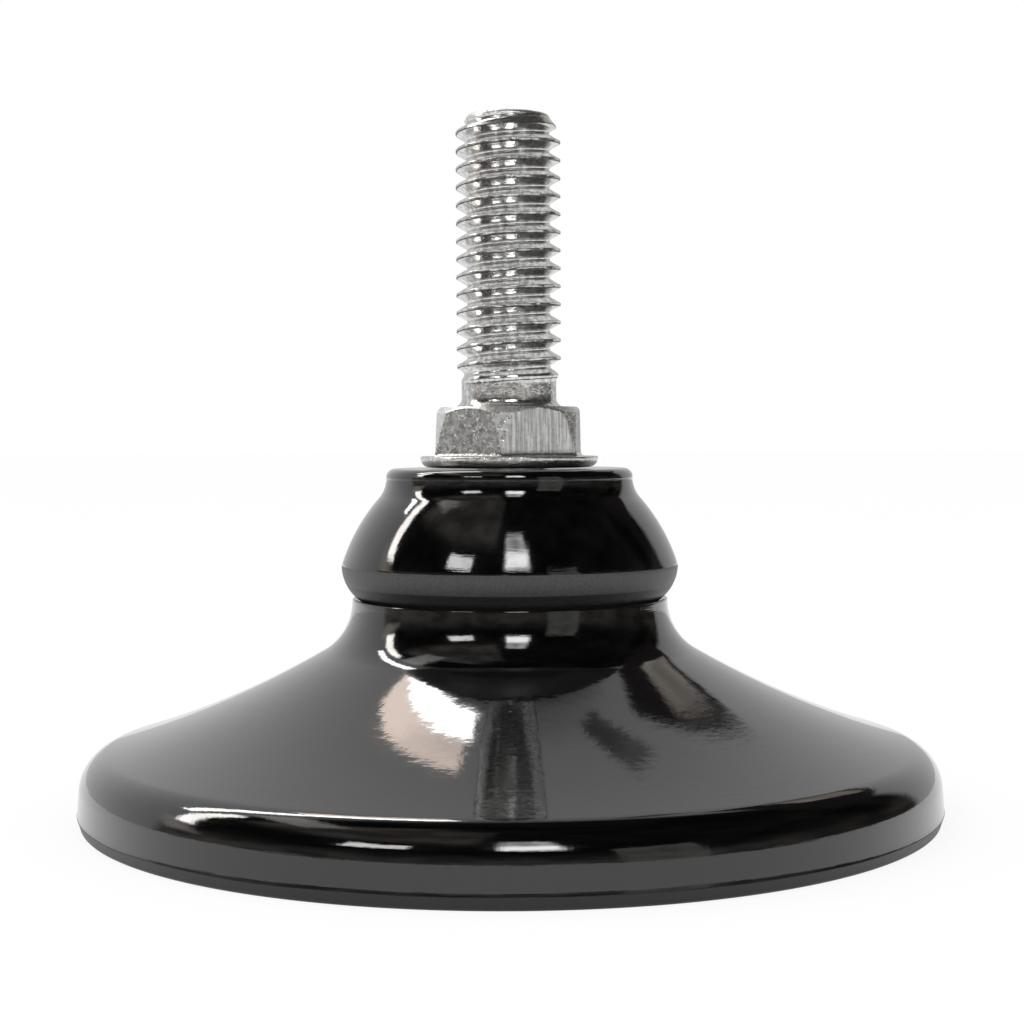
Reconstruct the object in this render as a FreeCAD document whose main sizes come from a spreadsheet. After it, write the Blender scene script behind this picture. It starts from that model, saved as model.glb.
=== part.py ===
import FreeCAD, Part
import math
import os

import Sketcher

# Levelling foot: a bell-shaped moulded base, a moulded cap that swivels on the base's neck, a headed stud
# with a hexagon and flange, and a dished washer that holds them together from below.
# Millimetres. The origin is on the floor at the centre of the base, and +Z runs up the stud.

# Driving dimensions: name, value, what it is.
SIZES = (
    ("base_diameter", 76.2, "across the moulding line of the base"),
    ("base_line_height", 1.05, "floor to the base's moulding line"),
    ("foot_setback", 0.25, "radial step from the moulding line in to the floor edge"),
    ("foot_width", 3.0, "width of the ring that stands on the floor"),
    ("foot_round", 0.35, "rounding of the ring's outer edge"),
    ("skirt_height", 3.25, "floor to the start of the shoulder"),
    ("skirt_taper", 0.2, "radial taper from the moulding line to the shoulder"),
    ("shoulder_radius", 3.7, "round of the shoulder"),
    ("flare_radius", 61.8, "hollow curve of the flare"),
    ("throat_radius", 4.9, "tighter curve where the flare turns up into the neck"),
    ("neck_diameter", 28.1, "across the neck at its rim"),
    ("neck_draft", 4.0, "degrees of taper on the neck"),
    ("neck_straight", 0.5, "height of the tapered stretch below the rim"),
    ("rim_height", 19.0, "floor to the rim of the neck"),
    ("rim_land", 0.24, "width of the flat on the rim"),
    ("wall", 3.0, "wall of the flare"),
    ("inside_taper", 0.15, "radial taper inside the skirt"),
    ("inside_round", 1.2, "rounding where the skirt meets the flare inside"),
    ("web_thickness", 3.0, "web between the socket and the washer"),
    ("hub_wall", 2.0, "wall of the ring round the washer"),
    ("rib_thickness", 1.8, "thickness of a rib"),
    ("rib_count", 8, "ribs round the underside"),
    ("rib_setback", 1.0, "floor to the ribs and the ring"),
    ("swivel_rise", 16.0, "rim to the centre that the cap swivels about"),
    ("seat_gap", 0.15, "gap between the spherical seats"),
    ("tilt_limit", 5.0, "degrees that the cap can lean"),
    ("tilt_clearance", 0.2, "room left round the shank and the washer at full lean"),
    ("cap_overhang", 0.95, "the cap's moulding line beyond the rim of the neck"),
    ("cap_line_rise", 3.0, "rim to the cap's moulding line"),
    ("cap_rise", 11.52, "rim to the top of the cap"),
    ("dome_radius", 17.0, "bulge of the cap above the moulding line"),
    ("dome_drop", 5.25, "moulding line down to the centre of that bulge"),
    ("collar_diameter", 22.0, "across the collar at the top of the cap"),
    ("collar_fillet", 2.6, "hollow between the bulge and the collar"),
    ("collar_round", 0.8, "rounding of the collar's top edge"),
    ("cap_hub_wall", 3.0, "wall round the shank inside the cap"),
    ("cap_wall", 3.2, "outer wall of the cap"),
    ("cap_top_wall", 2.9, "top wall of the cap"),
    ("cap_rib_thickness", 1.5, "thickness of a rib inside the cap"),
    ("cap_rib_count", 6, "ribs inside the cap"),
    ("cap_rib_setback", 0.3, "seat to the lower edge of those ribs"),
    ("shank_diameter", 7.0, "plain shank below the flange"),
    ("shank_clearance", 0.08, "radial running clearance on the shank"),
    ("flange_gap", 0.1, "cap to flange"),
    ("flange_diameter", 15.9, "across the flange"),
    ("flange_lip", 0.15, "height of the flange's upright edge"),
    ("flange_round", 0.85, "rounding of the flange's lower edge"),
    ("hex_flats", 12.4, "across the hexagon's flats"),
    ("hex_height", 4.35, "flange to the top of the hexagon"),
    ("hex_turn", 24.7, "degrees from +X to the first corner"),
    ("hex_corner_wear", 0.51, "how far the corners taper in towards the top"),
    ("hex_face_setback", 0.15, "flats in to the edge of the round top face"),
    ("hex_chamfer", 0.55, "height of the chamfer below that face"),
    ("neck_under_thread", 8.44, "across the plain neck above the hexagon"),
    ("neck_length", 2.2, "hexagon to the first of the thread"),
    ("runout_length", 0.4, "height over which the thread starts"),
    ("thread_diameter", 9.3, "across the crests of the 3/8-16 thread"),
    ("stud_length", 25.9, "hexagon to the top of the stud"),
    ("point_diameter", 6.2, "across the flat end of the stud"),
    ("point_length", 1.3, "height of the chamfered end"),
    ("washer_overlap", 1.6, "washer still over the web at full lean"),
    ("washer_thickness", 1.5, "thickness of the dished washer"),
    ("washer_round", 0.3, "rounding of the washer's outer edge"),
    ("head_overlap", 1.9, "radial overlap of the headed end on the washer"),
    ("head_gap", 0.1, "washer to headed end"),
    ("head_edge", 0.6, "height of the head's upright edge"),
    ("head_dome", 1.1, "height of the head's dome"),
)

# Sizes and places that follow from the driving dimensions.
DERIVED = (
    ("base_radius", "base_diameter / 2"),
    ("foot_outer", "base_radius - foot_setback"),
    ("foot_inner", "foot_outer - foot_width"),
    ("skirt_radius", "base_radius - skirt_taper"),
    ("skirt_inner", "foot_inner - inside_taper"),
    ("neck_radius", "neck_diameter / 2"),
    ("skirt_length", "sqrt(skirt_taper ^ 2 + (skirt_height - base_line_height) ^ 2)"),
    ("shoulder_out", "skirt_radius - shoulder_radius * (skirt_height - base_line_height) / skirt_length"),
    ("shoulder_up", "skirt_height - shoulder_radius * skirt_taper / skirt_length"),
    ("throat_start_out", "neck_radius + neck_straight * tan(neck_draft)"),
    ("throat_start_up", "rim_height - neck_straight"),
    ("throat_out", "throat_start_out + throat_radius * cos(neck_draft)"),
    ("throat_up", "throat_start_up + throat_radius * sin(neck_draft)"),
    # The flare touches the shoulder from outside and the throat from inside.
    ("flare_reach", "flare_radius + shoulder_radius"),
    ("throat_reach", "flare_radius - throat_radius"),
    ("apart_out", "throat_out - shoulder_out"),
    ("apart_up", "throat_up - shoulder_up"),
    ("apart", "sqrt(apart_out ^ 2 + apart_up ^ 2)"),
    ("flare_along", "(flare_reach ^ 2 - throat_reach ^ 2 + apart ^ 2) / (2 * apart)"),
    ("flare_across", "sqrt(flare_reach ^ 2 - flare_along ^ 2)"),
    ("flare_out", "shoulder_out + (flare_along * apart_out + flare_across * apart_up) / apart"),
    ("flare_up", "shoulder_up + (flare_along * apart_up - flare_across * apart_out) / apart"),
    ("under_flare_radius", "flare_radius + wall"),
    ("rib_flare_radius", "flare_radius + wall / 2"),
    ("swivel_height", "rim_height + swivel_rise"),
    ("socket_radius", "sqrt((neck_radius - rim_land) ^ 2 + swivel_rise ^ 2)"),
    ("dish_radius", "socket_radius - seat_gap"),
    ("web_under", "socket_radius + web_thickness"),
    ("washer_over", "web_under + seat_gap"),
    ("washer_under", "washer_over + washer_thickness"),
    ("shank_radius", "shank_diameter / 2"),
    ("shank_bore", "shank_radius + shank_clearance"),
    ("web_travel", "web_under * sin(tilt_limit)"),
    ("washer_travel", "washer_under * sin(tilt_limit)"),
    ("web_hole", "shank_radius + web_travel + tilt_clearance"),
    ("washer_radius", "web_hole + web_travel + washer_overlap"),
    ("hub_inner", "washer_radius + washer_travel + tilt_clearance"),
    ("hub_outer", "hub_inner + hub_wall"),
    ("rib_start", "hub_inner + hub_wall / 2"),
    ("rib_end", "skirt_inner + foot_width / 2"),
    ("cap_radius", "neck_radius + cap_overhang"),
    ("cap_line_height", "rim_height + cap_line_rise"),
    ("cap_top", "rim_height + cap_rise"),
    ("dome_up", "cap_line_height - dome_drop"),
    ("dome_out", "cap_radius - sqrt(dome_radius ^ 2 - dome_drop ^ 2)"),
    # The bead starts upright at the moulding line and runs into the dish without an edge.
    ("bead_fall", "swivel_height - cap_line_height"),
    ("bead_reach", "dish_radius ^ 2 - cap_radius ^ 2 - bead_fall ^ 2"),
    ("bead_radius", "bead_reach / (2 * (dish_radius - cap_radius))"),
    ("bead_out", "cap_radius - bead_radius"),
    ("collar_radius", "collar_diameter / 2"),
    ("collar_edge", "collar_radius - collar_round"),
    ("hollow_out", "collar_radius + collar_fillet"),
    ("hollow_up", "dome_up + sqrt((dome_radius + collar_fillet) ^ 2 - (hollow_out - dome_out) ^ 2)"),
    ("core_inner", "shank_bore + cap_hub_wall"),
    ("core_outer", "neck_radius - cap_wall"),
    ("core_top_outer", "collar_radius - cap_top_wall"),
    ("core_top", "cap_top - cap_top_wall"),
    ("core_knee", "hollow_up - cap_wall - (core_outer - core_top_outer) / 2"),
    ("core_bottom", "swivel_height - socket_radius - 1"),
    ("cap_rib_bottom_radius", "dish_radius - cap_rib_setback"),
    ("cap_rib_inner", "core_inner - cap_hub_wall / 2"),
    ("cap_rib_outer", "core_outer + cap_wall / 3"),
    ("cap_rib_knee", "core_knee + cap_wall / 6"),
    ("cap_rib_top", "core_top + cap_top_wall / 3"),
    ("cap_rib_top_outer", "core_top_outer + cap_wall / 6"),
    ("flange_bottom", "cap_top + flange_gap"),
    ("flange_top", "flange_bottom + flange_round + flange_lip"),
    ("flange_radius", "flange_diameter / 2"),
    ("flange_seat", "flange_radius - flange_round"),
    ("flange_edge_up", "flange_bottom + flange_round"),
    ("hex_top", "flange_top + hex_height"),
    ("hex_corner", "hex_flats / 2 / cos(30)"),
    ("hex_top_corner_radius", "hex_corner - hex_corner_wear"),
    ("hex_top_face_radius", "hex_flats / 2 - hex_face_setback"),
    ("hex_taper_start", "flange_top + hex_height / 10"),
    ("hex_shoulder", "hex_top - hex_chamfer"),
    ("hex_top_plus", "hex_top + hex_chamfer"),
    ("trim_radius", "hex_corner + 2"),
    ("stud_neck_radius", "neck_under_thread / 2"),
    # The fillet takes half of the hexagon's top face.
    ("neck_flare", "(hex_top_face_radius - stud_neck_radius) / 2"),
    ("neck_top", "hex_top + neck_length"),
    ("thread_start", "neck_top + runout_length"),
    ("thread_radius", "thread_diameter / 2"),
    ("stud_top", "hex_top + stud_length"),
    ("point_start", "stud_top - point_length"),
    ("point_radius", "point_diameter / 2"),
    ("head_radius", "shank_radius + head_overlap"),
    ("head_top", "swivel_height - sqrt(washer_under ^ 2 - shank_bore ^ 2) - head_gap"),
    ("head_side", "head_top - head_edge"),
    ("head_bottom", "head_side - head_dome"),
    ("head_curve", "(head_radius ^ 2 + head_dome ^ 2) / (2 * head_dome)"),
)

# How a sketch numbers its own origin and axes.
ORIGIN = (-1, 1)
AXES = {"floor": -1, "stud": -2}


def make_sheet(doc):
    """Writes the driving and derived sizes, each under its own name, and returns their values."""
    sheet = doc.addObject("Spreadsheet::Sheet", "Sizes")
    row = 1
    for name, value, note in SIZES:
        sheet.set(f"A{row}", name)
        sheet.set(f"B{row}", str(value))
        sheet.set(f"C{row}", note)
        sheet.setAlias(f"B{row}", name)
        row += 1
    for name, formula in DERIVED:
        sheet.set(f"A{row}", name)
        sheet.set(f"B{row}", "=" + formula)
        sheet.setAlias(f"B{row}", name)
        row += 1
    doc.recompute()
    names = [entry[0] for entry in SIZES] + [entry[0] for entry in DERIVED]
    return {name: float(sheet.get(name)) for name in names}


def plane(body, role):
    """Finds one of a body's own origin planes."""
    return next(item for item in body.Origin.OriginFeatures if item.Role == role)


class Outline:
    """A closed chain of lines and arcs in a sketch on the body's upright XZ plane.

    Each stretch has a name. Its first and last points are kept in the chain's own order, whichever way
    an arc is stored.
    """

    def __init__(self, body, name, values):
        self.sketch = body.newObject("Sketcher::SketchObject", name)
        self.sketch.AttachmentSupport = [(plane(body, "XZ_Plane"), "")]
        self.sketch.MapMode = "FlatFace"
        self.values = values
        self.stretches = {}
        self.order = []

    def keep(self, name, shape, first, last):
        self.stretches[name] = (self.sketch.addGeometry(shape, False), first, last)
        self.order.append(name)

    def line(self, name, start, end):
        self.keep(name, Part.LineSegment(FreeCAD.Vector(*start, 0), FreeCAD.Vector(*end, 0)), 1, 2)

    def arc(self, name, centre, start, end, clockwise=False):
        """An arc about centre from start to end."""
        first, last = (end, start) if clockwise else (start, end)
        angle_1 = math.atan2(first[1] - centre[1], first[0] - centre[0])
        angle_2 = math.atan2(last[1] - centre[1], last[0] - centre[0])
        circle = Part.Circle(FreeCAD.Vector(*centre, 0), FreeCAD.Vector(0, 0, 1), math.dist(centre, start))
        shape = Part.ArcOfCircle(circle, angle_1, angle_2)
        self.keep(name, shape, *((2, 1) if clockwise else (1, 2)))

    def point(self, name, where):
        """The geometry and point numbers of a stretch's start, end or centre."""
        number, first, last = self.stretches[name]
        return number, {"start": first, "end": last, "centre": 3}[where]

    def add(self, *terms):
        return self.sketch.addConstraint(Sketcher.Constraint(*terms))

    def drive(self, kind, terms, size):
        """Puts a dimension on the sketch and ties it to a size in the sheet."""
        index = self.add(kind, *terms, self.values[size])
        self.sketch.setExpression(f"Constraints[{index}]", f"Sizes.{size}")

    def close(self, smooth=()):
        """Joins each stretch to the next: tangent where the pair is in smooth, else end to end."""
        for i, name in enumerate(self.order):
            following = self.order[(i + 1) % len(self.order)]
            kind = "Tangent" if (name, following) in smooth else "Coincident"
            self.add(kind, *self.point(name, "end"), *self.point(following, "start"))

    def level(self, *names):
        for name in names:
            self.add("Horizontal", self.stretches[name][0])

    def upright(self, *names):
        for name in names:
            self.add("Vertical", self.stretches[name][0])

    def out(self, name, where, size):
        """Distance of a point from the stud's axis."""
        self.drive("DistanceX", (*ORIGIN, *self.point(name, where)), size)

    def up(self, name, where, size):
        """Height of a point above the floor."""
        self.drive("DistanceY", (*ORIGIN, *self.point(name, where)), size)

    def radius(self, name, size):
        self.drive("Radius", (self.stretches[name][0],), size)

    def on_axis(self, name, where):
        self.add("PointOnObject", *self.point(name, where), AXES["stud"])

    def on_floor(self, name, where):
        self.add("PointOnObject", *self.point(name, where), AXES["floor"])

    def about_swivel(self, name, size):
        """Sets an arc's centre at the swivel's centre, and its radius."""
        self.on_axis(name, "centre")
        self.up(name, "centre", "swivel_height")
        self.radius(name, size)


def new_body(doc, label):
    body = doc.addObject("PartDesign::Body", label)
    body.Label = label
    return body


def polygon(outline, corners):
    """Draws a closed chain of straight lines through corners, each a stretch's name and two sizes."""
    spots = [(outline.values[out], outline.values[up]) for _, out, up in corners]
    for i, (name, _, _) in enumerate(corners):
        outline.line(name, spots[i], spots[(i + 1) % len(spots)])
    outline.close()
    for name, out, up in corners:
        outline.out(name, "start", out)
        outline.up(name, "start", up)


def sphere_height(v, radius, out):
    """Height of the lower half of a sphere about the swivel's centre, at a distance from the axis."""
    return v["swivel_height"] - math.sqrt(radius**2 - out**2)


def revolve(body, outline, name, kind="PartDesign::Revolution"):
    feature = body.newObject(kind, name)
    feature.Profile = outline.sketch
    feature.ReferenceAxis = (outline.sketch, ["V_Axis"])
    feature.Angle = 360.0
    return feature


def ring_of_ribs(body, outline, name, thickness, count):
    """Pads one rib to both sides of its sketch and repeats it round the axis."""
    rib = body.newObject("PartDesign::Pad", name)
    rib.Profile = outline.sketch
    rib.Midplane = True
    rib.setExpression("Length", f"Sizes.{thickness}")
    pattern = body.newObject("PartDesign::PolarPattern", name + "_ring")
    pattern.Originals = [rib]
    pattern.Axis = (outline.sketch, ["V_Axis"])
    pattern.Angle = 360.0
    pattern.setExpression("Occurrences", f"Sizes.{count}")
    body.Tip = pattern
    return pattern


def round_edges(doc, body, name, spots, size):
    """Fillets the circular edges that lie at the given (radius, height) spots."""
    doc.recompute()
    solid = body.Tip
    edges = []
    for i, edge in enumerate(solid.Shape.Edges):
        if edge.Degenerated:
            continue
        curve = edge.Curve
        if not isinstance(curve, Part.Circle):
            continue
        for out, up in spots:
            near_axis = math.hypot(curve.Center.x, curve.Center.y) < 0.01
            if near_axis and abs(curve.Radius - out) < 0.01 and abs(curve.Center.z - up) < 0.01:
                edges.append(f"Edge{i + 1}")
    if not edges:
        raise RuntimeError(f"{name}: no edge to round")
    fillet = body.newObject("PartDesign::Fillet", name)
    fillet.Base = (solid, edges)
    fillet.setExpression("Radius", f"Sizes.{size}")
    body.Tip = fillet


def between(start, towards, distance):
    """The point at a distance from start on the way towards another point."""
    share = distance / math.dist(start, towards)
    return (start[0] + (towards[0] - start[0]) * share, start[1] + (towards[1] - start[1]) * share)


def flare_height(v, radius, out):
    """Height of a curve concentric with the flare, at a distance from the axis."""
    return v["flare_up"] - math.sqrt(radius**2 - (out - v["flare_out"]) ** 2)


def bell_section(body, v):
    """Half section of the base: foot, skirt, shoulder, flare, throat, socket, hub and hollow underside."""
    swivel = (0, v["swivel_height"])
    line = (v["base_radius"], v["base_line_height"])
    skirt = (v["skirt_radius"], v["skirt_height"])
    shoulder = (v["shoulder_out"], v["shoulder_up"])
    flare = (v["flare_out"], v["flare_up"])
    throat = (v["throat_out"], v["throat_up"])
    shoulder_end = between(shoulder, flare, v["shoulder_radius"])
    flare_end = between(flare, throat, v["flare_radius"])
    neck = (v["throat_start_out"], v["throat_start_up"])
    rim = (v["neck_radius"], v["rim_height"])
    socket_edge = (v["neck_radius"] - v["rim_land"], v["rim_height"])
    hole_top = (v["web_hole"], sphere_height(v, v["socket_radius"], v["web_hole"]))
    hole_bottom = (v["web_hole"], sphere_height(v, v["web_under"], v["web_hole"]))
    hub_top = (v["hub_inner"], sphere_height(v, v["web_under"], v["hub_inner"]))
    hub_root = (v["hub_outer"], flare_height(v, v["under_flare_radius"], v["hub_outer"]))
    skirt_root = (v["skirt_inner"], flare_height(v, v["under_flare_radius"], v["skirt_inner"]))

    section = Outline(body, "bell_section", v)
    section.line("foot", (v["foot_inner"], 0), (v["foot_outer"], 0))
    section.line("band", (v["foot_outer"], 0), line)
    section.line("skirt", line, skirt)
    section.arc("shoulder", shoulder, skirt, shoulder_end)
    section.arc("flare", flare, shoulder_end, flare_end, clockwise=True)
    section.arc("throat", throat, flare_end, neck, clockwise=True)
    section.line("neck", neck, rim)
    section.line("rim", rim, socket_edge)
    section.arc("socket", swivel, socket_edge, hole_top, clockwise=True)
    section.line("hole", hole_top, hole_bottom)
    section.arc("web_under", swivel, hole_bottom, hub_top)
    section.line("hub_inside", hub_top, (v["hub_inner"], v["rib_setback"]))
    section.line("hub_end", (v["hub_inner"], v["rib_setback"]), (v["hub_outer"], v["rib_setback"]))
    section.line("hub_outside", (v["hub_outer"], v["rib_setback"]), hub_root)
    section.arc("under_flare", flare, hub_root, skirt_root)
    section.line("skirt_inside", skirt_root, (v["foot_inner"], 0))
    section.close(
        smooth=(("skirt", "shoulder"), ("shoulder", "flare"), ("flare", "throat"), ("throat", "neck"))
    )

    section.on_floor("foot", "start")
    section.on_floor("foot", "end")
    section.out("foot", "start", "foot_inner")
    section.out("foot", "end", "foot_outer")
    section.out("band", "end", "base_radius")
    section.up("band", "end", "base_line_height")
    section.out("skirt", "end", "skirt_radius")
    section.up("skirt", "end", "skirt_height")
    section.radius("shoulder", "shoulder_radius")
    section.radius("flare", "flare_radius")
    section.radius("throat", "throat_radius")
    section.out("neck", "start", "throat_start_out")
    section.up("neck", "start", "throat_start_up")
    section.out("neck", "end", "neck_radius")
    section.up("neck", "end", "rim_height")
    section.level("rim", "hub_end")
    section.upright("hole", "hub_inside", "hub_outside")
    section.about_swivel("socket", "socket_radius")
    section.out("hole", "start", "web_hole")
    section.about_swivel("web_under", "web_under")
    section.out("hub_inside", "start", "hub_inner")
    section.up("hub_inside", "end", "rib_setback")
    section.out("hub_end", "end", "hub_outer")
    section.add("Coincident", *section.point("under_flare", "centre"), *section.point("flare", "centre"))
    section.radius("under_flare", "under_flare_radius")
    section.out("under_flare", "end", "skirt_inner")
    return section


def bell_rib(body, v):
    """Side view of one rib, whose ends and top lie inside the hub, the skirt and the flare."""
    flare = (v["flare_out"], v["flare_up"])
    top_inner = (v["rib_start"], flare_height(v, v["rib_flare_radius"], v["rib_start"]))
    top_outer = (v["rib_end"], flare_height(v, v["rib_flare_radius"], v["rib_end"]))
    rib = Outline(body, "rib_side", v)
    rib.line("bottom", (v["rib_start"], v["rib_setback"]), (v["rib_end"], v["rib_setback"]))
    rib.line("end", (v["rib_end"], v["rib_setback"]), top_outer)
    rib.arc("top", flare, top_outer, top_inner, clockwise=True)
    rib.line("start", top_inner, (v["rib_start"], v["rib_setback"]))
    rib.close()
    rib.level("bottom")
    rib.upright("start", "end")
    rib.out("bottom", "start", "rib_start")
    rib.up("bottom", "start", "rib_setback")
    rib.out("bottom", "end", "rib_end")
    rib.out("top", "centre", "flare_out")
    rib.up("top", "centre", "flare_up")
    rib.radius("top", "rib_flare_radius")
    return rib


def make_bell_base(doc, v):
    """The base: one moulding with a spherical socket in its neck and a ribbed, hollow underside."""
    body = new_body(doc, "bell_base")
    skirt_root = flare_height(v, v["under_flare_radius"], v["skirt_inner"])
    revolve(body, bell_section(body, v), "bell")
    round_edges(doc, body, "foot_rounding", [(v["foot_outer"], 0)], "foot_round")
    round_edges(doc, body, "inside_rounding", [(v["skirt_inner"], skirt_root)], "inside_round")
    ring_of_ribs(body, bell_rib(body, v), "rib", "rib_thickness", "rib_count")
    return body


def cap_section(body, v):
    """Half section of the cap: flat top, collar, bulge, bead and the dish that rides in the socket."""
    swivel = (0, v["swivel_height"])
    collar_top = (v["collar_radius"], v["cap_top"] - v["collar_round"])
    edge = (v["collar_edge"], v["cap_top"] - v["collar_round"])
    hollow = (v["hollow_out"], v["hollow_up"])
    dome = (v["dome_out"], v["dome_up"])
    bulge_start = between(dome, hollow, v["dome_radius"])
    line = (v["cap_radius"], v["cap_line_height"])
    bead = (v["bead_out"], v["cap_line_height"])
    bead_end = between(swivel, bead, v["dish_radius"])
    bore_bottom = (v["shank_bore"], sphere_height(v, v["dish_radius"], v["shank_bore"]))

    section = Outline(body, "cap_section", v)
    section.line("top", (v["shank_bore"], v["cap_top"]), (v["collar_edge"], v["cap_top"]))
    section.arc("edge", edge, (v["collar_edge"], v["cap_top"]), collar_top, clockwise=True)
    section.line("collar", collar_top, (v["collar_radius"], v["hollow_up"]))
    section.arc("hollow", hollow, (v["collar_radius"], v["hollow_up"]), bulge_start)
    section.arc("bulge", dome, bulge_start, line, clockwise=True)
    section.arc("bead", bead, line, bead_end, clockwise=True)
    section.arc("dish", swivel, bead_end, bore_bottom, clockwise=True)
    section.line("bore", bore_bottom, (v["shank_bore"], v["cap_top"]))
    rounds = (("top", "edge"), ("edge", "collar"), ("collar", "hollow"), ("hollow", "bulge"))
    section.close(smooth=(*rounds, ("bead", "dish")))

    section.level("top")
    section.upright("collar", "bore")
    section.out("top", "start", "shank_bore")
    section.up("top", "start", "cap_top")
    section.radius("edge", "collar_round")
    section.out("collar", "start", "collar_radius")
    section.radius("hollow", "collar_fillet")
    section.radius("bulge", "dome_radius")
    section.up("bulge", "centre", "dome_up")
    section.out("bulge", "end", "cap_radius")
    section.up("bulge", "end", "cap_line_height")
    section.up("bead", "centre", "cap_line_height")
    section.about_swivel("dish", "dish_radius")
    return section


def cap_core(body, v):
    """Half section of the ring-shaped hollow inside the cap, open to the seat."""
    core = Outline(body, "core_section", v)
    corners = (
        ("bottom", "core_inner", "core_bottom"),
        ("outside", "core_outer", "core_bottom"),
        ("slope", "core_outer", "core_knee"),
        ("ceiling", "core_top_outer", "core_top"),
        ("inside", "core_inner", "core_top"),
    )
    polygon(core, corners)
    return core


def cap_rib(body, v):
    """Side view of one rib inside the cap, whose ends and top lie inside the walls."""
    swivel = (0, v["swivel_height"])
    low_inner = (v["cap_rib_inner"], sphere_height(v, v["cap_rib_bottom_radius"], v["cap_rib_inner"]))
    low_outer = (v["cap_rib_outer"], sphere_height(v, v["cap_rib_bottom_radius"], v["cap_rib_outer"]))
    rib = Outline(body, "cap_rib_side", v)
    rib.arc("bottom", swivel, low_inner, low_outer)
    rib.line("end", low_outer, (v["cap_rib_outer"], v["cap_rib_knee"]))
    rib.line("slope", (v["cap_rib_outer"], v["cap_rib_knee"]), (v["cap_rib_top_outer"], v["cap_rib_top"]))
    rib.line("top", (v["cap_rib_top_outer"], v["cap_rib_top"]), (v["cap_rib_inner"], v["cap_rib_top"]))
    rib.line("start", (v["cap_rib_inner"], v["cap_rib_top"]), low_inner)
    rib.close()
    rib.about_swivel("bottom", "cap_rib_bottom_radius")
    rib.upright("end", "start")
    rib.level("top")
    rib.out("end", "end", "cap_rib_outer")
    rib.up("end", "end", "cap_rib_knee")
    rib.out("slope", "end", "cap_rib_top_outer")
    rib.up("slope", "end", "cap_rib_top")
    rib.out("top", "end", "cap_rib_inner")
    return rib


def make_swivel_cap(doc, v):
    """The cap: one moulding that rides on the base's socket, cored out and ribbed inside."""
    body = new_body(doc, "swivel_cap")
    revolve(body, cap_section(body, v), "cap")
    doc.recompute()
    whole = body.Shape.Volume
    revolve(body, cap_core(body, v), "core", "PartDesign::Groove")
    doc.recompute()
    if body.Shape.Volume > 0.95 * whole:
        raise RuntimeError("the cap was not cored out")
    ring_of_ribs(body, cap_rib(body, v), "cap_rib", "cap_rib_thickness", "cap_rib_count")
    return body


def stud_section(body, v):
    """Half section of everything on the stud that is round."""
    section = Outline(body, "stud_section", v)
    head_centre = (0, v["head_bottom"] + v["head_curve"])
    flange_centre = (v["flange_seat"], v["flange_edge_up"])
    section.arc("head", head_centre, (0, v["head_bottom"]), (v["head_radius"], v["head_side"]))
    section.line("head_side", (v["head_radius"], v["head_side"]), (v["head_radius"], v["head_top"]))
    section.line("head_top", (v["head_radius"], v["head_top"]), (v["shank_radius"], v["head_top"]))
    section.line("shank", (v["shank_radius"], v["head_top"]), (v["shank_radius"], v["flange_bottom"]))
    section.line("seat", (v["shank_radius"], v["flange_bottom"]), (v["flange_seat"], v["flange_bottom"]))
    section.arc(
        "flange_edge",
        flange_centre,
        (v["flange_seat"], v["flange_bottom"]),
        (v["flange_radius"], v["flange_edge_up"]),
    )
    lip = (v["flange_radius"], v["flange_edge_up"])
    section.line("flange_lip", lip, (v["flange_radius"], v["flange_top"]))
    neck_foot = (v["stud_neck_radius"], v["flange_top"])
    section.line("flange_face", (v["flange_radius"], v["flange_top"]), neck_foot)
    section.line("neck", (v["stud_neck_radius"], v["flange_top"]), (v["stud_neck_radius"], v["neck_top"]))
    section.line("runout", (v["stud_neck_radius"], v["neck_top"]), (v["thread_radius"], v["thread_start"]))
    section.line("thread", (v["thread_radius"], v["thread_start"]), (v["thread_radius"], v["point_start"]))
    section.line("point", (v["thread_radius"], v["point_start"]), (v["point_radius"], v["stud_top"]))
    section.line("top", (v["point_radius"], v["stud_top"]), (0, v["stud_top"]))
    section.line("axis", (0, v["stud_top"]), (0, v["head_bottom"]))
    section.close(smooth=(("seat", "flange_edge"), ("flange_edge", "flange_lip")))

    section.on_axis("head", "start")
    section.up("head", "start", "head_bottom")
    section.on_axis("head", "centre")
    section.out("head", "end", "head_radius")
    section.up("head", "end", "head_side")
    section.upright("head_side", "shank", "flange_lip", "neck", "thread", "axis")
    section.level("head_top", "seat", "flange_face", "top")
    section.up("head_side", "end", "head_top")
    section.out("shank", "start", "shank_radius")
    section.up("shank", "end", "flange_bottom")
    section.radius("flange_edge", "flange_round")
    section.out("flange_lip", "start", "flange_radius")
    section.up("flange_lip", "end", "flange_top")
    section.out("neck", "start", "stud_neck_radius")
    section.up("neck", "end", "neck_top")
    section.out("thread", "start", "thread_radius")
    section.up("thread", "start", "thread_start")
    section.up("thread", "end", "point_start")
    section.out("top", "start", "point_radius")
    section.up("top", "start", "stud_top")
    return section


def hex_trim(body, v):
    """Half section of what is cut from the hexagon's corners: a long taper, then the top chamfer."""
    trim = Outline(body, "hex_trim_section", v)
    corners = (
        ("bottom", "trim_radius", "hex_taper_start"),
        ("outside", "trim_radius", "hex_top_plus"),
        ("over", "hex_top_face_radius", "hex_top_plus"),
        ("inside", "hex_top_face_radius", "hex_top"),
        ("chamfer", "hex_top_corner_radius", "hex_shoulder"),
        ("taper", "hex_corner", "hex_taper_start"),
    )
    polygon(trim, corners)
    return trim


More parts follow.
